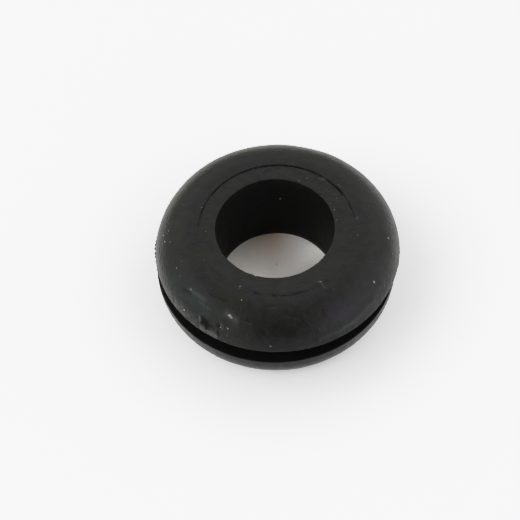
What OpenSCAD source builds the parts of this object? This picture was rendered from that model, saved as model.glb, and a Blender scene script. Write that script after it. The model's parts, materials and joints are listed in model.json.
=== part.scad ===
// Rubber grommet: a round one-piece moulding that lines the edge of a hole in a panel.
// Two rounded flanges hold the panel between them, and a plain bore passes the cable.
// It rests on its lower flange at z = 0, with the axis of the bore on the Z axis.
// All sizes are in millimetres.

/* [Bore] */
// Diameter of the straight bore through the middle
bore_d = 9.5; // [6:0.1:10.5]

/* [Panel groove] */
// Diameter at the bottom of the groove, the same as the hole in the panel
groove_d = 12.7; // [12:0.1:14]
// Width of the groove, a little over the thickness of the panel
groove_w = 1.85; // [1:0.05:4]
// Radius in the two corners at the bottom of the groove
groove_corner_r = 0.3; // [0.1:0.05:0.45]

/* [Upper flange] */
// Outer diameter of the upper flange
upper_d = 19.75; // [19:0.05:24]
// Thickness of the upper flange, from its flat face to its lip at the groove
upper_t = 2.75; // [2:0.05:4]
// Radius of the round between the flat face and the lip
upper_rim_r = 3; // [1:0.05:3.3]
// Shift of the upper flange to the right, where the halves of the mould met unevenly
upper_shift_x = 0.15; // [-0.3:0.01:0.3]
// Shift of the upper flange to the back, where the halves of the mould met unevenly
upper_shift_y = -0.09; // [-0.3:0.01:0.3]

/* [Lower flange] */
// Outer diameter of the lower flange
lower_d = 19.5; // [18:0.1:24]
// Thickness of the lower flange, from its flat face to its lip at the groove
lower_t = 3.15; // [2:0.05:4]
// Radius of the round between the flat face and the lip
lower_rim_r = 2.7; // [1:0.05:3.1]

/* [Core ring] */
// Diameter of the ring that the core of the mould left round the bore
core_ring_d = 12.5; // [11.5:0.1:13]
// Depth of the flat inside that ring below the face outside it
core_ring_step = 0.06; // [0.02:0.01:0.2]

/* [Hidden] */
$fn = 128;

// Overall height, from the rest face to the upper face
height = lower_t + groove_w + upper_t;
// Length by which the web runs on into each flange, and by which a cut passes a face
overlap = 0.5;
// Colour of the black rubber
rubber_black = [0.17, 0.17, 0.165];

// Distance from the centre of the rim's arc out to its widest point. A round that is taller than
// its flange has its centre past the lip, so there the arc stops short of its full radius.
function rim_reach(t, rim_r) = sqrt(pow(rim_r, 2) - pow(min(t - rim_r, 0), 2));

// Half section of one flange, with its groove side along the X axis and its flat face on top
module flange_section(d, t, rim_r) {
    arc_x = d / 2 - rim_reach(t, rim_r);
    arc_y = t - rim_r;
    square([arc_x, t]);
    intersection() {
        translate([arc_x, arc_y]) circle(r = rim_r);
        square([d / 2, t]);
    }
    if (arc_y > 0) {
        square([d / 2, arc_y]);
    }
}

// Half section of the web between the flanges, with a fillet against each of them
module web_section() {
    fillet_x = groove_d / 2 + groove_corner_r;
    translate([0, -overlap]) square([groove_d / 2, groove_w + 2 * overlap]);
    difference() {
        square([fillet_x, groove_w]);
        for (y = [groove_corner_r, groove_w - groove_corner_r]) {
            translate([fillet_x, y]) circle(r = groove_corner_r);
        }
        translate([0, groove_corner_r]) square([fillet_x, groove_w - 2 * groove_corner_r]);
    }
}

// Lower flange, round side down
module lower_flange() {
    translate([0, 0, lower_t]) mirror([0, 0, 1])
        rotate_extrude() flange_section(lower_d, lower_t, lower_rim_r);
}

// Web that the edge of the panel hole closes round
module web() {
    translate([0, 0, lower_t]) rotate_extrude() web_section();
}

// Upper flange, with the shallow flat that the core of the mould left round the bore
module upper_flange() {
    translate([upper_shift_x, upper_shift_y, height - upper_t]) difference() {
        rotate_extrude() flange_section(upper_d, upper_t, upper_rim_r);
        translate([0, 0, upper_t - core_ring_step]) cylinder(d = core_ring_d, h = overlap);
    }
}

// The whole moulding, bored through
module grommet() {
    color(rubber_black) difference() {
        union() {
            lower_flange();
            web();
            upper_flange();
        }
        translate([0, 0, -overlap]) cylinder(d = bore_d, h = height + 2 * overlap);
    }
}

grommet();
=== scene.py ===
"""Looks of a moulded black rubber grommet that lies on a pale table.

The moulding is a half section turned round the bore, with the marks that the mould and handling
left on it: the line of the core ring, painted dark as shade in its groove, flash along the lips,
small chips at the bore's mouth, a wiped smudge, a scuffed patch and grains of dust. All sizes are
in metres, except in the tables of strokes and grains, which are in millimetres. A bearing is the
angle round the axis of the bore, in degrees from +X towards +Y.
"""

import json

import bpy
import numpy as np
from mathutils import Matrix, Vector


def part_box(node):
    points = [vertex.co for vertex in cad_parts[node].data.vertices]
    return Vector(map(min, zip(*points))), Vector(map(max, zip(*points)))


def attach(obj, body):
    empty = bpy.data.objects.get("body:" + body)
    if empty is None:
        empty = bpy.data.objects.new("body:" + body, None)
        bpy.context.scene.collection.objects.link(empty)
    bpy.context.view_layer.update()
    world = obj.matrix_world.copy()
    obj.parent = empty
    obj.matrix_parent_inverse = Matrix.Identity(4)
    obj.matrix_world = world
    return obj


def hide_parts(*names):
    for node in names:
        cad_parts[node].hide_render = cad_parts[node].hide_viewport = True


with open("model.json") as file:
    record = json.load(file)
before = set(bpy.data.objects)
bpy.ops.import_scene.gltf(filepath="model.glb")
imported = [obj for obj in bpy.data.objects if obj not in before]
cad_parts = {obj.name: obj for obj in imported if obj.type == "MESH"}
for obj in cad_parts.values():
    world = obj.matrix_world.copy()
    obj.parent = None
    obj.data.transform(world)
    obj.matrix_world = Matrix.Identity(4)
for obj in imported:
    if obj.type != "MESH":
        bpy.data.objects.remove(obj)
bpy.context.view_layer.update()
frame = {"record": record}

MM = 0.001

# Section of the moulding, as in the construction
BORE_R = frame["record"]["mounts"][0]["dims"]["r_mm"] * MM
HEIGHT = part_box("grommet")[1].z
LOWER_R = 9.75 * MM
LOWER_T = 3.15 * MM
LOWER_RIM = 2.7 * MM
GROOVE_W = 1.85 * MM
GROOVE_R = 6.35 * MM
GROOVE_CORNER = 0.3 * MM
UPPER_R = 9.875 * MM
UPPER_RIM = 3.0 * MM
UPPER_SHIFT = np.array([0.15, -0.09, 0.0]) * MM
RING_R = 6.25 * MM
RING_STEP = 0.06 * MM
UPPER_LIP_Z = LOWER_T + GROOVE_W

# Softening of the sharp edges, and the dark line of the core ring
EDGE = 0.06 * MM
LIP_EDGE = 0.13 * MM
LINE_HALF_W = 0.03 * MM
LINE_DEPTH = 0.06 * MM

# How many times the section is repeated round the bore
TURNS = 640
# Points kept of the even ones on the groove's floor, closer together towards the lip
FLOOR_EVEN = 48
FLOOR_KEPT = [9, 19, 29, 39, 46, 47]


def arc(centre_r, centre_z, radius, start, end, count):
    """Points on an arc of the section: the centre plus the radius at even angles from start to
    end, in degrees."""
    angle = np.radians(np.linspace(start, end, count))
    return np.stack([centre_r + radius * np.cos(angle), centre_z + radius * np.sin(angle)], 1)


def run(start, end, count):
    """Points on a straight stretch of the section, evenly spaced, without its two ends."""
    share = np.linspace(0, 1, count + 2)[1:-1, None]
    return (1 - share) * np.array(start) + share * np.array(end)


def upper_rim_centre():
    """Centre of the upper rim's arc. It lies a little below the lip, so the lip cuts the arc off
    just before its widest point, at the flange's full radius."""
    centre_z = HEIGHT - UPPER_RIM
    reach = np.sqrt(UPPER_RIM**2 - (UPPER_LIP_Z - centre_z) ** 2)
    return UPPER_R - reach, centre_z


def section_stretches():
    """The closed half section, stretch by stretch: up the bore, out over the face, down the rim,
    in and out of the groove, and back in under the lower flange."""
    inset_z = HEIGHT - RING_STEP
    rim_r, rim_z = upper_rim_centre()
    rise = UPPER_LIP_Z + LIP_EDGE - rim_z
    lip_r = rim_r + np.sqrt((UPPER_RIM - LIP_EDGE) ** 2 - rise**2)
    lip_angle = np.degrees(np.arctan2(rise, lip_r - rim_r))
    fillet_r = GROOVE_R + GROOVE_CORNER
    flat_r = LOWER_R - LOWER_RIM
    ring_line = [
        [RING_R - LINE_HALF_W, inset_z],
        [RING_R - 0.5 * LINE_HALF_W, inset_z - 0.7 * LINE_DEPTH],
        [RING_R, inset_z - LINE_DEPTH],
        [RING_R + 0.3 * LINE_HALF_W, inset_z - 0.3 * LINE_DEPTH],
        [RING_R + 0.5 * LINE_HALF_W, HEIGHT - 0.2 * RING_STEP],
        [RING_R + LINE_HALF_W, HEIGHT],
    ]
    return {
        "bore_foot": arc(BORE_R + EDGE, EDGE, EDGE, 270, 180, 4),
        "bore": run([BORE_R, EDGE], [BORE_R, inset_z - EDGE], 12),
        "bore_mouth": arc(BORE_R + EDGE, inset_z - EDGE, EDGE, 180, 90, 4),
        "inset": run([BORE_R + EDGE, inset_z], [RING_R - LINE_HALF_W, inset_z], 11),
        "ring_line": np.array(ring_line),
        "face": run([RING_R + LINE_HALF_W, HEIGHT], [rim_r, HEIGHT], 4),
        "upper_rim": arc(rim_r, rim_z, UPPER_RIM, 90, lip_angle, 56)[:-1],
        "upper_lip": arc(lip_r, UPPER_LIP_Z + LIP_EDGE, LIP_EDGE, lip_angle, -90, 8),
        "groove_roof": run([lip_r, UPPER_LIP_Z], [fillet_r, UPPER_LIP_Z], 4),
        "roof_fillet": arc(fillet_r, UPPER_LIP_Z - GROOVE_CORNER, GROOVE_CORNER, 90, 180, 4),
        "web": run([GROOVE_R, UPPER_LIP_Z - GROOVE_CORNER], [GROOVE_R, LOWER_T + GROOVE_CORNER], 3),
        "floor_fillet": arc(fillet_r, LOWER_T + GROOVE_CORNER, GROOVE_CORNER, 180, 270, 4),
        "groove_floor": run([fillet_r, LOWER_T], [LOWER_R - EDGE, LOWER_T], FLOOR_EVEN)[FLOOR_KEPT],
        "lower_lip": arc(LOWER_R - EDGE, LOWER_T - EDGE, EDGE, 90, 0, 4),
        "lower_edge": run([LOWER_R, LOWER_T - EDGE], [LOWER_R, LOWER_RIM], 4),
        "lower_rim": arc(flat_r, LOWER_RIM, LOWER_RIM, 0, -90, 16),
        "base": run([flat_r, 0], [BORE_R + EDGE, 0], 4),
    }


def smooth_noise(points, size, seed, waves=28):
    """Soft unevenness about zero: the sum of plane waves of about the given size, each with its own
    direction and phase, at every point."""
    draw = np.random.default_rng(seed)
    direction = draw.normal(size=(waves, points.shape[1]))
    direction /= np.linalg.norm(direction, axis=1, keepdims=True)
    pitch = size * draw.uniform(0.6, 1.7, waves)
    phase = draw.uniform(0, 2 * np.pi, waves)
    return np.sin(points @ (direction * (2 * np.pi / pitch)[:, None]).T + phase).sum(1) / waves**0.5


def bump(distance, width):
    """A bell curve: 1 at no distance, about a third at the given width."""
    return np.exp(-((distance / width) ** 2))


def fade(value, start, width):
    """0 up to the start, 1 from one width past it on, and a straight rise between them."""
    return np.clip((value - start) / width, 0, 1)


def turn_gap(bearing, centre):
    """The shortest way round from one bearing to another, in degrees."""
    return (bearing - centre + 180) % 360 - 180


class Skin:
    """The turned surface as a grid: section points by bearings, with each point's place, outward
    direction, bearing, distance from the flange's axis and stretch of the section."""

    def __init__(self):
        stretches = section_stretches()
        self.section = np.concatenate(list(stretches.values()))
        self.stretch = np.repeat(list(stretches), [len(points) for points in stretches.values()])
        ahead = np.roll(self.section, -1, 0) - np.roll(self.section, 1, 0)
        out = np.stack([-ahead[:, 1], ahead[:, 0]], 1)
        out /= np.linalg.norm(out, axis=1, keepdims=True)
        turn = np.linspace(0, 2 * np.pi, TURNS, endpoint=False)
        self.bearing = np.broadcast_to(np.degrees(turn), (len(self.section), TURNS))
        self.radius = np.broadcast_to(self.section[:, :1], self.bearing.shape)
        spoke = np.stack([np.cos(turn), np.sin(turn), np.zeros(TURNS)], 1)
        up = np.array([0.0, 0.0, 1.0])
        self.place = self.section[:, 0, None, None] * spoke + self.section[:, 1, None, None] * up
        self.place = self.place + self.lean()[:, None, None] * UPPER_SHIFT
        self.outward = out[:, 0, None, None] * spoke + out[:, 1, None, None] * up

    def on(self, *names):
        """1 on the named stretches of the section and 0 elsewhere, for every grid point."""
        hit = np.isin(self.stretch, names).astype(float)
        return np.broadcast_to(hit[:, None], self.bearing.shape)

    def lean(self):
        """Share of the upper flange's shift that each section point takes: none on the bore and the
        lower flange, all of it on the upper flange, and a gradual change over the flats between."""
        radius = self.section[:, 0]
        share = np.isin(self.stretch, ["ring_line", "face", "upper_rim", "upper_lip"]).astype(float)
        inset = self.stretch == "inset"
        roof = self.stretch == "groove_roof"
        share[inset] = (radius[inset] - BORE_R) / (RING_R - BORE_R)
        share[roof] = (radius[roof] - GROOVE_R) / (UPPER_R - GROOVE_R)
        return share

    def noise(self, size, seed):
        """Soft unevenness over the whole surface, with a pattern of its own for each seed."""
        points = self.place.reshape(-1, 3)
        return smooth_noise(points, size, seed).reshape(self.bearing.shape)

    def push(self, amount):
        """Moves every grid point outward by its amount."""
        self.place = self.place + amount[:, :, None] * self.outward


# How deep the ring's line shows round the bearings, as a share: clear over the back, soft at its
# two ends there, and faint or gone in front
LINE_BEARINGS = [
    *(0, 5, 14, 26, 34, 45, 48, 50, 53, 62, 75, 90, 105, 120, 140, 158, 168, 175),
    *(182, 244, 249, 254, 260, 266, 274, 282, 289, 297, 315, 335, 360),
]
LINE_DEPTHS = [
    *(0.12, 0.25, 0.50, 0.55, 0.90, 0.95, 0.30, 0.30, 0.75),
    *(0.90, 0.80, 0.90, 0.85, 0.80, 0.75, 0.65, 0.50, 0.35),
    *(0.10, 0.00, 0.12, 0.15, 0.08, 0.15, 0.12, 0.12, 0.08, 0.03, 0.00, 0.03, 0.12),
]

# The tables of strokes describe marks on the upper flange, each as a straight line with the bearing
# and the distance from the flange's axis of its two ends, its width and its strength.

# Dust, scratches and wear that are paler than the rubber
PALE_STROKES = [
    (215.3, 8.67, 220.6, 8.56, 0.13, 0.26),
    (220.6, 8.56, 225.9, 8.52, 0.16, 0.22),
    (223.8, 8.81, 227.1, 8.80, 0.09, 0.22),
    (227.1, 8.80, 231.4, 8.81, 0.07, 0.22),
    (240.2, 8.57, 246.2, 8.77, 0.24, 0.40),
    (249.9, 8.74, 254.1, 8.78, 0.05, 0.20),
    (227.6, 9.50, 229.4, 9.76, 0.07, 0.75),
    (229.4, 9.78, 233.5, 9.81, 0.10, 0.95),
    (233.5, 9.81, 238.5, 9.84, 0.10, 0.75),
    (239.4, 9.30, 240.3, 9.42, 0.09, 0.60),
    (271.2, 8.16, 278.4, 8.41, 0.07, 0.14),
    (263.3, 7.47, 266.8, 7.46, 0.07, 0.16),
    (299.8, 6.10, 302.2, 6.20, 0.06, 0.60),
    (300.9, 6.28, 300.6, 6.83, 0.04, 0.60),
    (178.0, 9.83, 186.0, 9.83, 0.20, 0.45),
    (186.0, 9.83, 195.0, 9.83, 0.18, 0.40),
    (287.0, 9.75, 297.0, 9.73, 0.05, 0.30),
    (297.0, 9.73, 306.0, 9.71, 0.07, 0.42),
    (306.0, 9.71, 320.0, 9.66, 0.12, 0.28),
    (320.0, 9.62, 330.0, 9.50, 0.22, 0.19),
    (330.0, 9.40, 343.0, 9.50, 0.35, 0.14),
    (343.0, 9.50, 357.0, 9.55, 0.35, 0.18),
    (37.7, 6.50, 34.4, 6.49, 0.05, 0.35),
    (6.5, 6.48, 4.1, 6.46, 0.05, 0.50),
    (358.5, 6.33, 358.3, 6.69, 0.04, 0.15),
    (51.7, 6.01, 47.5, 6.10, 0.09, 0.25),
]
# Dark scratches, and painted shade along the broken stretches of the ring's line in front and where
# it is wider at the back right
DARK_STROKES = [
    (74.4, 6.25, 73.5, 6.23, 0.05, 0.60),
    (66.3, 6.18, 61.1, 6.20, 0.06, 0.60),
    (60.2, 6.19, 55.3, 6.17, 0.08, 0.80),
    (52.7, 6.21, 50.4, 6.17, 0.06, 0.70),
    (44.3, 6.20, 40.5, 6.20, 0.08, 0.90),
    (40.5, 6.20, 35.4, 6.25, 0.10, 0.90),
    (62.8, 5.42, 62.4, 5.42, 0.05, 0.45),
    (211.6, 8.97, 216.0, 8.81, 0.07, 0.60),
    (216.0, 8.81, 218.0, 8.80, 0.06, 0.50),
    (226.3, 7.98, 229.6, 7.97, 0.06, 0.65),
    (229.6, 7.97, 233.6, 7.80, 0.06, 0.55),
    (235.1, 7.83, 237.3, 7.72, 0.13, 0.55),
    (251.3, 6.31, 254.0, 6.35, 0.10, 0.95),
    (254.0, 6.35, 257.0, 6.36, 0.08, 0.75),
    (257.5, 6.36, 263.5, 6.34, 0.07, 0.35),
    (264.7, 6.31, 266.2, 6.35, 0.13, 1.00),
    (266.5, 6.36, 270.0, 6.37, 0.07, 0.45),
    (270.0, 6.37, 273.7, 6.39, 0.10, 0.85),
    (273.7, 6.39, 278.0, 6.40, 0.08, 0.60),
    (278.8, 6.37, 283.9, 6.35, 0.11, 0.95),
    (283.9, 6.35, 289.8, 6.43, 0.10, 0.80),
    (292.6, 6.40, 297.6, 6.36, 0.10, 0.45),
    (303.3, 6.34, 305.5, 6.44, 0.08, 0.70),
    (231.0, 9.55, 234.0, 9.60, 0.06, 0.30),
    (187.1, 8.04, 187.9, 7.85, 0.05, 0.30),
    (190.0, 8.11, 191.0, 7.84, 0.06, 0.35),
    (193.5, 7.97, 194.9, 7.69, 0.05, 0.30),
    (196.6, 8.49, 197.7, 8.28, 0.05, 0.30),
    (203.8, 8.79, 204.6, 8.67, 0.06, 0.30),
    (165.8, 8.42, 166.9, 8.28, 0.06, 0.40),
    (168.2, 8.38, 168.8, 8.26, 0.05, 0.40),
    (191.9, 6.32, 192.4, 6.21, 0.06, 0.25),
    (213.9, 6.42, 216.5, 6.44, 0.06, 0.25),
    (4.7, 5.16, 1.4, 5.16, 0.06, 0.25),
    (24.6, 7.36, 23.4, 7.83, 0.05, 0.25),
    (18.8, 7.27, 18.5, 7.42, 0.05, 0.20),
]
# The scuffed patch on the front left rim
SCUFF_STROKES = [
    (228.9, 9.42, 229.9, 9.51, 0.12, 0.75),
    (229.8, 9.56, 232.6, 9.61, 0.22, 1.00),
    (232.7, 9.47, 234.1, 9.63, 0.20, 0.60),
    (234.6, 9.50, 236.0, 9.60, 0.14, 0.48),
    (237.8, 9.38, 239.0, 9.42, 0.14, 0.80),
    (238.5, 9.68, 239.3, 9.72, 0.09, 0.75),
]
# Streaks of the greenish film that wiping left
SMUDGE_STROKES = [
    (204.0, 9.20, 215.7, 8.62, 0.26, 0.60),
    (215.7, 8.62, 226.0, 8.62, 0.30, 0.75),
    (221.0, 9.00, 231.0, 9.20, 0.25, 0.60),
    (277.0, 9.78, 283.0, 9.78, 0.18, 0.55),
    (297.3, 9.60, 298.5, 9.75, 0.18, 0.50),
    (290.0, 9.74, 308.0, 9.70, 0.12, 0.60),
]
# Places where the rubber looks olive
OLIVE_STROKES = [
    (236.6, 7.72, 245.0, 7.45, 0.60, 0.80),
    (250.0, 8.60, 252.0, 8.60, 0.50, 0.50),
    (180.0, 7.90, 183.0, 7.90, 0.50, 0.50),
    (350.0, 8.20, 352.0, 8.20, 0.40, 0.50),
]
# Places where the rubber looks violet
VIOLET_STROKES = [
    (297.0, 8.35, 303.5, 8.75, 0.60, 0.50),
    (287.5, 9.70, 289.5, 9.65, 0.25, 0.55),
    (301.5, 7.90, 302.0, 8.10, 0.45, 0.45),
]

# How pale the side of the lower flange is painted round the bearings, as a share: partly wear,
# partly a painted reflection of the bright table
WORN_AND_REFLECTED_BEARINGS = [0, 30, 90, 150, 180, 205, 218, 232, 255, 283, 305, 335, 360]
WORN_AND_REFLECTED_AMOUNTS = [0.58, 0.45, 0.26, 0.40, 0.60, 0.48, 0.30, 0.17, 0.06, 0.04, 0.24, 0.40, 0.58]

# Where the upper rim is out of round: bearing and width in degrees, and how far out it stands
SWELLS = [(118, 20, 0.055 * MM), (74, 9, -0.035 * MM)]

# Middle of the scuffed hollow and of the wiped film: bearing, and distance from the flange's axis
SCUFF_BEARING = 231.2
SCUFF_RADIUS = 9.54 * MM
SMUDGE_BEARING = 214
SMUDGE_RADIUS = 8.90 * MM

# Small teeth of flash on the left of the upper lip: how many, the bearing that they start from,
# the one where they are tallest, and their height
TEETH = 18
TEETH_START = 160
TEETH_MIDDLE = 179
TEETH_HEIGHT = 0.10 * MM


def line_depth(skin):
    """Depth of the ring's line round the bearings, from its table, a little uneven."""
    even = np.interp(skin.bearing, LINE_BEARINGS, LINE_DEPTHS)
    uneven = 0.82 + 0.24 * skin.noise(0.9 * MM, 11) + 0.24 * skin.noise(0.3 * MM, 12)
    return even * np.clip(uneven, 0.15, 1.15)


def lip_teeth(skin):
    """The ragged flash on the left of the upper lip: a row of small teeth, each a bell curve round
    its own bearing with its own height and width."""
    draw = np.random.default_rng(31)
    bearing = TEETH_START + np.cumsum(draw.uniform(2.0, 2.6, TEETH))
    height = draw.uniform(0.6, 1.0, TEETH) * bump(bearing - TEETH_MIDDLE, 11)
    width = draw.uniform(0.45, 0.62, TEETH)
    gap = turn_gap(skin.bearing[0][:, None], bearing)
    return (height * bump(gap, width)).sum(1)[None, :] * skin.on("upper_lip")


def mould_and_wear(skin):
    """Pushes the surface in and out: slight unevenness that dies out towards the table, a finer one
    on the outer rim, an upper rim a little out of round, flash and teeth along the lips, chips at
    the bore's mouth and the scuffed hollow on the front left rim."""
    bearing, radius = skin.bearing, skin.radius
    uneven = 0.005 * MM * skin.noise(3.0 * MM, 1) + 0.0022 * MM * skin.noise(0.9 * MM, 2)
    above_table = fade(skin.section[:, 1], 0, 0.5 * MM)[:, None]
    outer_rim = fade(radius, 8.3 * MM, 1.0 * MM) * skin.on("upper_rim")
    fine = 0.006 * MM * outer_rim * skin.noise(0.26 * MM, 6)
    level = np.hypot(skin.outward[:, :, 0], skin.outward[:, :, 1])
    swell = sum(height * bump(turn_gap(bearing, middle), width) for middle, width, height in SWELLS)
    out_of_round = swell * level * skin.on("upper_rim", "upper_lip")
    lips = skin.on("upper_lip") + 0.7 * skin.on("lower_lip")
    flash = lips * np.clip(skin.noise(0.34 * MM, 3), 0, 1.6) * 0.022 * MM
    teeth = lip_teeth(skin) * TEETH_HEIGHT
    chips = skin.on("bore_mouth") * np.clip(skin.noise(0.5 * MM, 4) - 0.9, 0, 1) * 0.07 * MM
    scuffed = bump(turn_gap(bearing, SCUFF_BEARING), 2.6) * bump(radius - SCUFF_RADIUS, 0.26 * MM)
    hollow = scuffed * skin.on("upper_rim") * (0.04 + 0.02 * skin.noise(0.25 * MM, 5)) * MM
    skin.push(uneven * above_table + fine + out_of_round + flash + teeth - chips - hollow)


def fade_ring_step(skin):
    """Where the ring's line is faint, lifts the flat inside it, so that it rises gently to the face
    instead of by a step."""
    shallow = 1 - line_depth(skin)
    below = np.clip(HEIGHT - skin.section[:, 1], 0, None)[:, None]
    rise = fade(skin.radius, BORE_R + EDGE, RING_R - BORE_R - EDGE)
    skin.place[:, :, 2] += below * shallow * (skin.on("ring_line") + rise * skin.on("inset"))


def strokes(skin, table):
    """A value for each point, from straight strokes on the upper flange seen from above: each is a
    bell curve of the distance to the line between its two ends, and the strongest one counts."""
    x = skin.radius * np.cos(np.radians(skin.bearing))
    y = skin.radius * np.sin(np.radians(skin.bearing))
    value = np.zeros(x.shape)
    for bearing_a, radius_a, bearing_b, radius_b, width, strength in table:
        ends = np.radians([bearing_a, bearing_b])
        reach = np.array([radius_a, radius_b]) * MM
        (ax, bx), (ay, by) = reach * np.cos(ends), reach * np.sin(ends)
        length = (bx - ax) ** 2 + (by - ay) ** 2
        share = np.clip(((x - ax) * (bx - ax) + (y - ay) * (by - ay)) / length, 0, 1)
        distance = np.hypot(x - ax - share * (bx - ax), y - ay - share * (by - ay))
        value = np.maximum(value, strength * bump(distance, width * MM))
    return value * skin.on("inset", "ring_line", "face", "upper_rim", "upper_lip")


def smudge_film(skin, top):
    """The wiped film at front left: a soft patch of streaks that drift outward as they go round,
    and its clearer strokes."""
    bearing, radius = skin.bearing, skin.radius
    drift = radius + 0.0235 * MM * turn_gap(bearing, 204)
    streaks = smooth_noise(drift.reshape(-1, 1), 0.55 * MM, 21, 12).reshape(bearing.shape)
    patch = bump(turn_gap(bearing, SMUDGE_BEARING), 17) * bump(radius - SMUDGE_RADIUS, 0.70 * MM)
    film = top * patch * np.clip(0.45 + 0.35 * streaks + 0.25 * skin.noise(0.7 * MM, 22), 0, 1)
    return np.maximum(film, strokes(skin, SMUDGE_STROKES))


def pale_wear_and_reflection(skin, top):
    """Dust along the front left of the upper lip, the pale strokes, and the pale side of the lower
    flange, partly wear and partly a painted reflection of the bright table, fainter towards its
    foot."""
    bearing, radius = skin.bearing, skin.radius
    near_lip = bump(radius - UPPER_R + 0.12 * MM, 0.20 * MM)
    along_lip = bump(turn_gap(bearing, SMUDGE_BEARING), 26) * near_lip
    pale = 0.22 * top * along_lip * np.clip(0.8 + 0.5 * skin.noise(0.3 * MM, 24), 0, 1.5)
    pale = np.maximum(pale, strokes(skin, PALE_STROKES) * 0.6)
    # The lower flange's side: partly wear, partly a painted reflection of the bright table
    worn_and_reflected = np.interp(bearing, WORN_AND_REFLECTED_BEARINGS, WORN_AND_REFLECTED_AMOUNTS)
    worn_and_reflected = worn_and_reflected * (0.8 + 0.22 * skin.noise(0.4 * MM, 25) + 0.25 * skin.noise(0.17 * MM, 26))
    above_foot = bump(np.clip(1.3 * MM - skin.section[:, 1], 0, None), 0.7 * MM)[:, None]
    side = fade(radius, LOWER_R - 0.5 * EDGE, 0.4 * EDGE) * skin.on("lower_lip")
    side = np.maximum(side, skin.on("lower_edge", "lower_rim"))
    return pale + worn_and_reflected * above_foot * side


def dark_marks_and_shade(skin, top):
    """The dark strokes, some of them painted shade along the ring's line; the ring's line, painted
    dark as shade in its groove; and painted shade along the front of the upper rim, just above its
    lip."""
    # Painted shade along the front of the upper rim, just above its lip
    above_lip = bump(turn_gap(skin.bearing, 272), 36) * fade(skin.radius, 9.4 * MM, 0.35 * MM)
    # The ring's line, painted dark as shade in its groove
    line = 0.75 * skin.on("ring_line") * line_depth(skin)
    return np.maximum.reduce([strokes(skin, DARK_STROKES), line, 0.35 * top * above_lip])


def marks(skin):
    """What the mould and handling left, and painted shade and reflection, as values from 0 to 1 for
    the
    material to read: the wiped greenish smudge, the scuffed patch, pale dust and wear with a
    painted reflection on the lower flange's side, dark strokes with painted shade in the ring's
    line and along the upper rim's front, how thick the specks of dust lie, the rougher wall of the
    bore, painted darker as shade, and the olive and violet casts."""
    top = skin.on("upper_rim", "face", "upper_lip")
    sides = skin.on("upper_lip", "lower_lip", "lower_edge", "lower_rim")
    left = bump(turn_gap(skin.bearing, 178), 12) * bump(skin.radius - 9.25 * MM, 0.5 * MM)
    back = bump(turn_gap(skin.bearing, 114), 56) * fade(skin.radius, 7.2 * MM, 1.2 * MM)
    rough_edge = 1 + 0.25 * skin.noise(0.25 * MM, 23)
    values = {
        "smudge": smudge_film(skin, top),
        "scuff": 1.9 * strokes(skin, SCUFF_STROKES) * rough_edge - 0.45,
        # Pale dust and wear, and a painted reflection on the lower flange's side
        "pale": pale_wear_and_reflection(skin, top),
        # Dark scratches, and painted shade in the ring's line and along the upper rim's front
        "dark": dark_marks_and_shade(skin, top),
        "dust": 0.12 + 0.9 * top * left + 0.5 * sides,
        # The bore's wall: rougher, and painted darker as shade, most at the back
        "dull_and_shaded": skin.on("bore") * (0.4 + 0.6 * bump(turn_gap(skin.bearing, 88), 52)),
        "olive": np.maximum(top * back, strokes(skin, OLIVE_STROKES)),
        "violet": strokes(skin, VIOLET_STROKES),
    }
    return {name: np.clip(value, 0, 1) for name, value in values.items()}


def grid_faces(rows, columns):
    """Corners of the four-sided faces of a grid that closes both ways, facing out of the solid."""
    row, column = np.meshgrid(np.arange(rows), np.arange(columns), indexing="ij")
    next_row, next_column = (row + 1) % rows, (column + 1) % columns
    corners = [(row, column), (next_row, column), (next_row, next_column), (row, next_column)]
    return np.stack([i * columns + j for i, j in corners], 2).reshape(-1, 4)


def mesh_object(name, points, faces, material):
    """A smooth mesh object at the origin from an array of points and an array of faces."""
    mesh = bpy.data.meshes.new(name)
    mesh.vertices.add(len(points))
    mesh.vertices.foreach_set("co", np.ascontiguousarray(points, dtype=np.float32).ravel())
    sides = faces.shape[1]
    mesh.loops.add(faces.size)
    mesh.loops.foreach_set("vertex_index", faces.astype(np.int32).ravel())
    mesh.polygons.add(len(faces))
    mesh.polygons.foreach_set("loop_start", np.arange(0, faces.size, sides, dtype=np.int32))
    mesh.polygons.foreach_set("use_smooth", np.ones(len(faces), dtype=bool))
    mesh.update(calc_edges=True)
    mesh.validate()
    mesh.materials.append(material)
    piece = bpy.data.objects.new(name, mesh)
    bpy.context.scene.collection.objects.link(piece)
    return piece


def moulding(material):
    """The grommet's whole surface, with the marks kept as attributes of its mesh."""
    skin = Skin()
    mould_and_wear(skin)
    fade_ring_step(skin)
    faces = grid_faces(*skin.bearing.shape)
    piece = mesh_object("moulding", skin.place.reshape(-1, 3), faces, material)
    for name, values in marks(skin).items():
        attribute = piece.data.attributes.new(name, "FLOAT", "POINT")
        attribute.data.foreach_set("value", values.astype(np.float32).ravel())
    return piece


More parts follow.
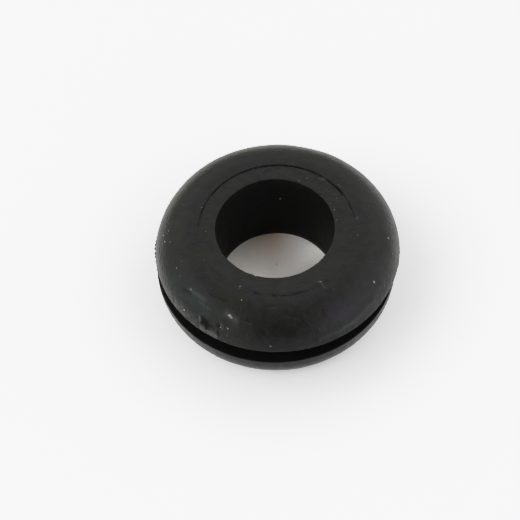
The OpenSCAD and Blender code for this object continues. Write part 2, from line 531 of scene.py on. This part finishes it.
# Grains that show in the photo: bearing in degrees and distance from the flange's axis, length and
# width in millimetres
SEEN_GRAINS = [
    (18.0, 4.93, 0.11, 0.08),
    (26.6, 4.92, 0.08, 0.06),
    (6.6, 4.84, 0.10, 0.05),
    (61.1, 5.50, 0.09, 0.07),
    (66.3, 5.01, 0.07, 0.05),
    (353.5, 8.86, 0.17, 0.14),
    (350.5, 6.47, 0.09, 0.08),
    (5.2, 6.45, 0.12, 0.07),
    (37.8, 6.49, 0.13, 0.08),
    (49.4, 6.09, 0.09, 0.05),
    (28.4, 5.60, 0.07, 0.06),
    (218.4, 9.69, 0.16, 0.13),
    (216.7, 9.70, 0.07, 0.05),
    (215.9, 8.59, 0.13, 0.09),
    (245.2, 7.26, 0.11, 0.08),
    (239.8, 6.19, 0.13, 0.08),
    (240.3, 6.34, 0.10, 0.05),
    (242.4, 8.65, 0.32, 0.24),
    (243.3, 8.70, 0.26, 0.12),
    (241.5, 8.62, 0.16, 0.10),
    (243.1, 9.34, 0.18, 0.15),
    (239.5, 9.42, 0.11, 0.09),
    (264.1, 9.72, 0.13, 0.11),
    (171.6, 9.00, 0.18, 0.09),
    (175.7, 8.67, 0.13, 0.10),
    (176.9, 8.80, 0.10, 0.08),
    (174.7, 9.17, 0.09, 0.06),
    (176.5, 9.12, 0.14, 0.11),
    (181.3, 8.98, 0.15, 0.13),
    (183.2, 8.56, 0.14, 0.05),
    (200.4, 8.58, 0.14, 0.09),
    (158.3, 6.37, 0.14, 0.10),
    (179.7, 5.65, 0.07, 0.06),
    (325.6, 8.92, 0.21, 0.18),
    (327.1, 9.83, 0.17, 0.14),
    (300.8, 6.15, 0.12, 0.08),
]
# The one on the wall of the bore: bearing in degrees, height and size
WALL_GRAIN_BEARING = 82.4
WALL_GRAIN_HEIGHT = 5.04 * MM
WALL_GRAIN_SIZE = 0.20 * MM
# How many fine grains lie anywhere on the upper flange and near its lip at the left
SCATTERED_GRAINS = 30
LIP_GRAINS = 60
# Height of a grain, half sunk, as a share of its width
GRAIN_RISE = 0.28


def grain_shape(rows=5, columns=8):
    """A closed lump of radius one: rings between two end points, on a ball."""
    polar = np.linspace(0, np.pi, rows + 2)[1:-1]
    turn = np.linspace(0, 2 * np.pi, columns, endpoint=False)
    ring = np.stack([np.cos(turn), np.sin(turn)], 1)
    rings = np.concatenate([np.sin(polar)[:, None, None] * ring, np.zeros((rows, columns, 1))], 2)
    rings[:, :, 2] = np.cos(polar)[:, None]
    points = np.concatenate([rings.reshape(-1, 3), [[0, 0, 1], [0, 0, -1]]])
    row, column = np.meshgrid(np.arange(rows - 1), np.arange(columns), indexing="ij")
    here, beside = row * columns + column, row * columns + (column + 1) % columns
    quads = np.stack([here, here + columns, beside + columns, beside], 2).reshape(-1, 4)
    first = np.arange(columns)
    second = (first + 1) % columns
    top = np.stack([np.full(columns, rows * columns), first, second], 1)
    last = (rows - 1) * columns
    bottom = np.stack([np.full(columns, rows * columns + 1), last + second, last + first], 1)
    halves = np.concatenate([quads[:, [0, 1, 2]], quads[:, [0, 2, 3]]])
    return points, np.concatenate([halves, top, bottom])


def upper_surface(bearing, radius):
    """Place and outward direction on the upper flange at bearings and distances from its own axis:
    the flat inside the ring, which rises to the face where the ring's line is faint, the flat
    outside it, and the rim's arc."""
    rim_r, rim_z = upper_rim_centre()
    over = np.clip(radius - rim_r, 0, UPPER_RIM)
    rise = np.sqrt(UPPER_RIM**2 - over**2)
    shallow = 1 - np.interp(bearing % 360, LINE_BEARINGS, LINE_DEPTHS)
    inset = HEIGHT - RING_STEP * (1 - shallow * (radius - BORE_R) / (RING_R - BORE_R))
    flat = np.where(radius < RING_R, inset, HEIGHT)
    height = np.where(radius > rim_r, rim_z + rise, flat)
    turn = np.radians(bearing)
    place = np.stack([radius * np.cos(turn), radius * np.sin(turn), height], 1) + UPPER_SHIFT
    slope, level = over / UPPER_RIM, rise / UPPER_RIM
    out = np.stack([slope * np.cos(turn), slope * np.sin(turn), level], 1)
    return place, out


def dust_grains(material):
    """Pale grains, each a squashed uneven lump half sunk in the upper flange: the ones that the
    photo shows, fine ones near the left and front left lip, and a few more over the rest. One more
    sits on the wall of the bore, at the back. A lump is the ball's points times a random stretch,
    laid along, beside and out of the surface."""
    draw = np.random.default_rng(7)
    seen = np.array(SEEN_GRAINS)
    fine = SCATTERED_GRAINS + LIP_GRAINS
    near_lip = 9.84 - np.abs(draw.normal(0, 0.22, LIP_GRAINS))
    bearing = [seen[:, 0], draw.uniform(0, 360, SCATTERED_GRAINS), draw.normal(194, 22, LIP_GRAINS)]
    radius = [seen[:, 1], draw.uniform(5.0, 9.8, SCATTERED_GRAINS), near_lip]
    small = draw.uniform(0.018, 0.042, fine)
    length = np.concatenate([seen[:, 2], small * draw.uniform(1.0, 1.7, fine)]) * MM
    width = np.concatenate([seen[:, 3], small]) * MM
    place, out = upper_surface(np.concatenate(bearing), np.concatenate(radius) * MM)
    wall = np.radians(WALL_GRAIN_BEARING)
    on_wall = [BORE_R * np.cos(wall), BORE_R * np.sin(wall), WALL_GRAIN_HEIGHT]
    place = np.concatenate([place, [on_wall]])
    out = np.concatenate([out, [[-np.cos(wall), -np.sin(wall), 0.0]]])
    length, width = np.append(length, WALL_GRAIN_SIZE), np.append(width, WALL_GRAIN_SIZE)
    spin = draw.uniform(0, 2 * np.pi, len(length))
    along = np.stack([np.cos(spin), np.sin(spin), 0.3 * np.ones(len(spin))], 1)
    along -= (along * out).sum(1, keepdims=True) * out
    along /= np.linalg.norm(along, axis=1, keepdims=True)
    beside = np.cross(out, along)
    shape, faces = grain_shape()
    uneven = 1 + 0.22 * draw.normal(size=(len(length), len(shape), 1))
    lump = shape[None] * np.clip(uneven, 0.55, 1.5)
    points = place[:, None] + 0.5 * length[:, None, None] * lump[:, :, :1] * along[:, None]
    points = points + 0.5 * width[:, None, None] * lump[:, :, 1:2] * beside[:, None]
    points = points + GRAIN_RISE * width[:, None, None] * lump[:, :, 2:] * out[:, None]
    offsets = len(shape) * np.arange(len(length))[:, None, None]
    faces = (faces[None] + offsets).reshape(-1, 3)
    return mesh_object("dust_grains", points.reshape(-1, 3), faces, material)


# Places of the colour sockets on a Mix node, which shares their names with other sockets
FIRST_COLOUR, SECOND_COLOUR, MIXED_COLOUR = 6, 7, 2


class Board:
    """A material's nodes: adds nodes and links, and keeps the Principled shader at hand."""

    def __init__(self, name):
        self.material = bpy.data.materials.new(name)
        self.material.use_nodes = True
        self.tree = self.material.node_tree
        self.shader = self.tree.nodes["Principled BSDF"]
        self.where = self.add("ShaderNodeTexCoord").outputs["Object"]

    def add(self, kind, **settings):
        """A node of that kind with its settings."""
        node = self.tree.nodes.new(kind)
        for name, value in settings.items():
            setattr(node, name, value)
        return node

    def feed(self, socket, source):
        """Sets a socket to a number or colour, or links it from another node's output."""
        if isinstance(source, bpy.types.NodeSocket):
            self.tree.links.new(source, socket)
        else:
            socket.default_value = source

    def noise(self, size, detail=3.0, rough=0.55):
        """Noise between 0 and 1 with features of the given size."""
        node = self.add("ShaderNodeTexNoise")
        self.feed(node.inputs["Vector"], self.where)
        node.inputs["Scale"].default_value = 1 / size
        node.inputs["Detail"].default_value = detail
        node.inputs["Roughness"].default_value = rough
        return node.outputs["Fac"]

    def maths(self, operation, first, second=0.0, clamp=False):
        """One sum on two values."""
        node = self.add("ShaderNodeMath", operation=operation, use_clamp=clamp)
        self.feed(node.inputs[0], first)
        self.feed(node.inputs[1], second)
        return node.outputs[0]

    def ramp(self, value, low, high, out_low=0.0, out_high=1.0):
        """Stretches the values between low and high to a new range, and holds them at its ends."""
        node = self.add("ShaderNodeMapRange", clamp=True)
        for socket, source in zip(node.inputs, (value, low, high, out_low, out_high)):
            self.feed(socket, source)
        return node.outputs[0]

    def mix(self, share, first, second, blend="MIX"):
        """A colour between two colours, or the first one blended with the second another way."""
        node = self.add("ShaderNodeMix", data_type="RGBA", blend_type=blend)
        self.feed(node.inputs["Factor"], share)
        self.feed(node.inputs[FIRST_COLOUR], first)
        self.feed(node.inputs[SECOND_COLOUR], second)
        return node.outputs[MIXED_COLOUR]

    def measure(self, operation, vector=(0.0, 0.0, 0.0)):
        """One number from the place on the surface and a vector."""
        node = self.add("ShaderNodeVectorMath", operation=operation)
        self.feed(node.inputs[0], self.where)
        node.inputs[1].default_value = vector
        return node.outputs["Value"]

    def mark(self, name):
        """One of the values that the mesh keeps for each point."""
        return self.add("ShaderNodeAttribute", attribute_name=name).outputs["Fac"]


# Colours of the rubber and its casts
RUBBER_COOL = (0.0088, 0.0079, 0.0093, 1)
RUBBER_WARM = (0.0089, 0.0095, 0.0070, 1)
RUBBER_MOTTLE = (0.0135, 0.0132, 0.0124, 1)
RUBBER_OLIVE = (0.0116, 0.0122, 0.0050, 1)
RUBBER_VIOLET = (0.0135, 0.0092, 0.0165, 1)
# The bore's wall, painted darker as shade
RUBBER_BORE_SHADE = (0.0070, 0.0066, 0.0060, 1)
# Colours of the marks on it
SMUDGE_GREEN = (0.0140, 0.0240, 0.0225, 1)
# Pale wear, and the painted reflection on the lower flange's side
WORN_AND_REFLECTED_GREY = (0.105, 0.105, 0.100, 1)
SPECK_GREY = (0.11, 0.11, 0.105, 1)
SCUFF_DARK = (0.006, 0.006, 0.003, 1)
# Dark scratches, and the painted shade of the ring's line and of the upper rim's front
MARK_AND_SHADE_DARK = (0.002, 0.002, 0.0018, 1)


def black_rubber():
    """Moulded black rubber: nearly black with faint clouds and mottling, a low uneven sheen, a fine
    grain and specks of dust. Where the mesh marks them, it has an olive or a violet cast, the
    smudge, the scuff, pale wear with a painted reflection on the lower flange's side, dark strokes
    with painted shade in the ring's line and along the upper rim's front, and the rougher wall of
    the bore, painted darker as shade."""
    board = Board("black_rubber")
    scuff, dark, dull_and_shaded = board.mark("scuff"), board.mark("dark"), board.mark("dull_and_shaded")
    olive = board.maths("MULTIPLY", board.mark("olive"), 0.8)
    smudge = board.maths("MULTIPLY", board.mark("smudge"), 0.68)
    fine = board.ramp(board.noise(0.10 * MM, 2.0, 0.5), 0.30, 0.70, 0.5, 1.5)
    pale = board.maths("MULTIPLY", board.mark("pale"), fine)
    specks = board.ramp(board.noise(0.09 * MM, 2.0, 0.5), 0.66, 0.74)
    dusty = board.maths("MULTIPLY", specks, board.mark("dust"))
    clouds = board.ramp(board.noise(1.9 * MM), 0.35, 0.65)
    mottle = board.ramp(board.noise(0.7 * MM, 2.0), 0.35, 0.65, 0.0, 0.9)
    colour = board.mix(clouds, RUBBER_COOL, RUBBER_WARM)
    colour = board.mix(mottle, colour, RUBBER_MOTTLE)
    colour = board.mix(olive, colour, RUBBER_OLIVE)
    colour = board.mix(board.mark("violet"), colour, RUBBER_VIOLET)
    colour = board.mix(smudge, colour, SMUDGE_GREEN)
    # Pale wear, and the painted reflection on the lower flange's side
    colour = board.mix(board.maths("MINIMUM", pale, 1.0), colour, WORN_AND_REFLECTED_GREY)
    colour = board.mix(board.maths("MULTIPLY", dusty, 0.5), colour, SPECK_GREY)
    colour = board.mix(scuff, colour, SCUFF_DARK)
    # Painted shade on the bore's wall, most at the back
    colour = board.mix(dull_and_shaded, colour, RUBBER_BORE_SHADE)
    # Dark scratches, and painted shade in the ring's line and along the upper rim's front
    colour = board.mix(dark, colour, MARK_AND_SHADE_DARK)
    board.feed(board.shader.inputs["Base Color"], colour)
    rough = board.ramp(board.noise(0.8 * MM), 0.3, 0.7, 0.33, 0.41)
    rough = board.maths("ADD", rough, board.maths("MULTIPLY", scuff, 0.4))
    rough = board.maths("ADD", rough, board.maths("MULTIPLY", dull_and_shaded, 0.25))
    rough = board.maths("ADD", rough, board.maths("MULTIPLY", dark, 0.4), clamp=True)
    board.feed(board.shader.inputs["Roughness"], rough)
    board.shader.inputs["Specular IOR Level"].default_value = 0.40
    grain = board.maths("MULTIPLY", board.noise(0.12 * MM, 3.0), 0.6)
    pits = board.maths("MULTIPLY", board.noise(0.28 * MM, 2.0), 1.2)
    height = board.maths("ADD", board.maths("ADD", grain, pits), board.noise(0.5 * MM))
    relief = board.add("ShaderNodeBump")
    relief.inputs["Strength"].default_value = 0.9
    relief.inputs["Distance"].default_value = 0.020 * MM
    board.feed(relief.inputs["Height"], height)
    board.feed(board.shader.inputs["Normal"], relief.outputs["Normal"])
    return board.material


# Darkest and lightest colour of the dust
DUST_DARK = (0.09, 0.09, 0.083, 1)
DUST_LIGHT = (0.27, 0.27, 0.255, 1)


def pale_dust():
    """Pale grey dust, a little lighter and darker from grain to grain."""
    board = Board("pale_dust")
    clouds = board.ramp(board.noise(0.5 * MM), 0.35, 0.65)
    colour = board.mix(clouds, DUST_DARK, DUST_LIGHT)
    board.feed(board.shader.inputs["Base Color"], colour)
    board.shader.inputs["Roughness"].default_value = 0.9
    return board.material


# Colours of the board all round the part
BOARD_GREY = (0.79, 0.79, 0.79, 1)
BOARD_WHITE = (0.81, 0.81, 0.81, 1)
# Colours of the part of it that shows through the bore: painted darker than the open board as
# shade, with a warm painted shade and a painted lit left end, and fibres and a speck
FLOOR_SHADED = (0.674, 0.669, 0.656, 1)
FLOOR_WARM_SHADE = (0.645, 0.565, 0.505, 1)
FLOOR_LEFT_LIT = (0.95, 0.915, 0.87, 1)
FLOOR_FIBRES = (0.58, 0.57, 0.55, 1)
FLOOR_SPECK = (0.30, 0.29, 0.28, 1)


def pale_table():
    """Smooth white board. The part that shows through the bore is painted darker than the open
    board as shade, with a warm painted shade that grows towards the back left, a painted lighter
    left end, painted light and shade that change from corner to corner, faint fibres and one small
    dark speck."""
    board = Board("pale_table")
    open_board = board.mix(board.ramp(board.noise(30 * MM), 0.3, 0.7), BOARD_GREY, BOARD_WHITE)
    across = board.measure("DOT_PRODUCT", (1.0, 0.0, 0.0))
    back = board.measure("DOT_PRODUCT", (0.0, 1.0, 0.0))
    # Warm painted shade on the floor in the bore, growing towards the back left
    warm_shade = board.ramp(across, 0.4 * MM, 2.0 * MM, 1.0, 0.0)
    to_back = board.ramp(back, 0.6 * MM, 3.2 * MM, 0.10, 1.0)
    blotches = board.ramp(board.noise(1.3 * MM), 0.3, 0.7, 0.75, 1.1)
    warm_shade = board.maths("MULTIPLY", warm_shade, to_back)
    warm_shade = board.maths("MULTIPLY", warm_shade, blotches, clamp=True)
    floor = board.mix(warm_shade, FLOOR_SHADED, FLOOR_WARM_SHADE)
    # Painted light at the left end of the floor in the bore
    floor = board.mix(board.ramp(across, -0.3 * MM, -3.2 * MM), floor, FLOOR_LEFT_LIT)
    # Painted light and shade that change from corner to corner
    corner_light = board.maths("MULTIPLY", across, board.maths("SUBTRACT", back, 2.2 * MM))
    corner_light = board.ramp(corner_light, -3 * MM**2, 3 * MM**2, 0.86, 1.18)
    floor = board.mix(1.0, floor, corner_light, "MULTIPLY")
    fibres = board.ramp(board.noise(0.35 * MM, 2.0), 0.3, 0.7, 0.0, 0.12)
    floor = board.mix(fibres, floor, FLOOR_FIBRES)
    from_speck = board.measure("DISTANCE", (0.05 * MM, 1.57 * MM, 0.0))
    floor = board.mix(board.ramp(from_speck, 0.05 * MM, 0.17 * MM, 0.4, 0.0), floor, FLOOR_SPECK)
    # The floor in the bore, painted darker than the open board as shade
    inside = board.ramp(board.measure("LENGTH"), BORE_R, BORE_R + 0.5 * MM, 1.0, 0.0)
    board.feed(board.shader.inputs["Base Color"], board.mix(inside, open_board, floor))
    board.shader.inputs["Roughness"].default_value = 0.6
    return board.material


# Camera, set from the outlines of the bore, the lips and the rims in the photo: lens and sensor in
# millimetres, elevation and roll in degrees, how far away it stands, and how far to the right of
# and above its line of sight the middle of the rest face lies
LENS = 117.85
SENSOR_WIDTH = 36
CAMERA_ABOVE = 56.30
CAMERA_ROLL = -2.86
CAMERA_AWAY = 141.84 * MM
CAMERA_RIGHT = 1.397 * MM
CAMERA_UP = -1.688 * MM


def photo_camera():
    """The camera stands in front of the part. Its line of sight climbs from there at its elevation,
    and passes a little to the side of the middle of the rest face. Its roll turns it round that
    line."""
    above, roll = np.radians(CAMERA_ABOVE), np.radians(CAMERA_ROLL)
    level = np.array([1.0, 0.0, 0.0])
    steep = np.array([0.0, np.sin(above), np.cos(above)])
    back = np.array([0.0, -np.cos(above), np.sin(above)])
    right = np.cos(roll) * level + np.sin(roll) * steep
    upward = -np.sin(roll) * level + np.cos(roll) * steep
    place = CAMERA_AWAY * back - CAMERA_RIGHT * right - CAMERA_UP * upward
    camera = bpy.data.objects.new("photo_camera", bpy.data.cameras.new("photo_camera"))
    bpy.context.scene.collection.objects.link(camera)
    camera.data.lens = LENS
    camera.data.sensor_width = SENSOR_WIDTH
    camera.data.clip_start = 1 * MM
    matrix = np.eye(4)
    matrix[:3, :3] = np.stack([right, upward, back], 1)
    matrix[:3, 3] = place
    camera.matrix_world = Matrix(matrix.tolist())
    bpy.context.scene.camera = camera


# Half the width of the table, and how far it lies under the rest face
TABLE_HALF = 2.0
TABLE_BELOW = 0.004 * MM


def table_top(material):
    """A wide flat table just under the rest face."""
    signs = np.array([[-1, -1], [1, -1], [1, 1], [-1, 1]])
    corners = np.column_stack([TABLE_HALF * signs, np.full(4, -TABLE_BELOW)])
    table = mesh_object("table_top", corners, np.array([[0, 1, 2, 3]]), material)


def pointed_at_part(thing, place):
    """Puts a light at a place and turns its face to the part."""
    away = np.array(place, float)
    away /= np.linalg.norm(away)
    side = np.cross([0.0, 0.0, 1.0], away)
    side = side / np.linalg.norm(side)
    matrix = np.eye(4)
    matrix[:3, :3] = np.stack([side, np.cross(away, side), away], 1)
    matrix[:3, 3] = place
    thing.matrix_world = Matrix(matrix.tolist())


def softbox(name, place, size, power):
    """A square area light that faces the part and that nothing mirrors."""
    light = bpy.data.lights.new(name, "AREA")
    light.shape = "SQUARE"
    light.size = size
    light.energy = power
    thing = bpy.data.objects.new(name, light)
    bpy.context.scene.collection.objects.link(thing)
    pointed_at_part(thing, place)
    thing.visible_glossy = False


# Parts of the room that aren't the even pale grey of the rest: bearing and height of each one's
# middle, how far from it the patch is full and where it has died out, all in degrees, and its
# share of the grey, which is under one where the room is darker and over one where it is lighter
ROOM_PATCHES = [
    (271, 6, 12, 36, (0.33, 0.33, 0.33)),
    (271, 32, 14, 36, (0.30, 0.30, 0.30)),
    (270, 60, 12, 36, (0.38, 0.38, 0.38)),
    (90, 82, 8, 37, (0.555, 0.555, 0.545)),
    (90, 0, 14, 44, (0.56, 0.56, 0.56)),
    (172, 8, 10, 36, (0.88, 0.88, 0.88)),
    (144, 10, 10, 26, (0.74, 0.74, 0.74)),
    (32, 20, 8, 24, (0.76, 0.76, 0.76)),
    (212, 10, 8, 30, (0.97, 1.06, 1.02)),
    (313, 20, 8, 26, (1.32, 1.24, 1.38)),
    (0, 16, 6, 24, (1.12, 1.12, 1.12)),
    (120, 3, 8, 24, (0.62, 0.62, 0.62)),
    (64, 2, 8, 20, (0.66, 0.66, 0.66)),
]
ROOM_GREY = 0.92


def heading(bearing, height):
    """Direction with the given bearing round the upright axis and height above the horizon."""
    turn, rise = np.radians(bearing), np.radians(height)
    parts = np.cos(rise) * np.cos(turn), np.cos(rise) * np.sin(turn), np.sin(rise)
    return tuple(float(part) for part in parts)


def pale_room():
    """A pale grey room, dark in front, where the camera and whoever holds it stand, darker overhead
    and low at the back, and a little lighter at the right. Each patch multiplies the colour by its
    share, in full within one angle of its middle and no longer past a second one."""
    world = bpy.data.worlds.new("pale_room")
    world.use_nodes = True
    tree = world.node_tree
    direction = tree.nodes.new("ShaderNodeTexCoord").outputs["Generated"]
    grey = tree.nodes.new("ShaderNodeRGB")
    grey.outputs[0].default_value = (ROOM_GREY, ROOM_GREY, ROOM_GREY, 1)
    colour = grey.outputs[0]
    for bearing, height, inner, outer, share in ROOM_PATCHES:
        nearness = tree.nodes.new("ShaderNodeVectorMath")
        nearness.operation = "DOT_PRODUCT"
        tree.links.new(direction, nearness.inputs[0])
        nearness.inputs[1].default_value = heading(bearing, height)
        falloff = tree.nodes.new("ShaderNodeMapRange")
        falloff.interpolation_type = "SMOOTHSTEP"
        tree.links.new(nearness.outputs["Value"], falloff.inputs["Value"])
        falloff.inputs["From Min"].default_value = float(np.cos(np.radians(outer)))
        falloff.inputs["From Max"].default_value = float(np.cos(np.radians(inner)))
        dim = tree.nodes.new("ShaderNodeMix")
        dim.data_type = "RGBA"
        dim.blend_type = "MULTIPLY"
        tree.links.new(falloff.outputs["Result"], dim.inputs["Factor"])
        tree.links.new(colour, dim.inputs[FIRST_COLOUR])
        dim.inputs[SECOND_COLOUR].default_value = (*share, 1)
        colour = dim.outputs[MIXED_COLOUR]
    tree.links.new(colour, tree.nodes["Background"].inputs["Color"])
    bpy.context.scene.world = world


# How the camera turns light into the picture's tones, as pairs of light and tone on linear scales:
# it deepens the darkest tones a little and brings out the pale ones, so that the table is nearly
# white with only a faint shadow
RESPONSE = [
    (0.0045, 0.0036),
    (0.010, 0.0064),
    (0.033, 0.0300),
    (0.050, 0.055),
    (0.065, 0.091),
    (0.084, 0.138),
    (0.109, 0.194),
    (0.137, 0.264),
    (0.162, 0.390),
    (0.190, 0.530),
    (0.258, 0.665),
    (0.370, 0.750),
    (0.425, 0.780),
    (0.505, 0.832),
    (0.590, 0.890),
    (0.665, 0.930),
    (0.780, 0.948),
]


# Place of the tone curve that works on all the colours, after the ones of red, green and blue
ALL_COLOURS = 3


def photo_response():
    """Sets the scene's tone curve through the response's points."""
    settings = bpy.context.scene.view_settings
    settings.view_transform = "Standard"
    settings.use_curve_mapping = True
    curve = settings.curve_mapping.curves[ALL_COLOURS]
    for light, tone in RESPONSE:
        curve.points.new(light, tone)
    settings.curve_mapping.update()


def studio():
    """Soft light from high at the left and a weaker one from in front, in a pale room."""
    pale_room()
    softbox("window_light", (-0.43, -0.08, 0.60), size=0.6, power=1.35)
    softbox("front_fill", (0.05, -0.68, 0.25), size=0.5, power=0.44)
    photo_response()


def build():
    """Makes the pieces, the table, the light and the camera."""
    grommet = moulding(black_rubber())
    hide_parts("grommet")
    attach(grommet, "root")
    grains = dust_grains(pale_dust())
    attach(grains, "root")
    table_top(pale_table())
    studio()
    photo_camera()


build()
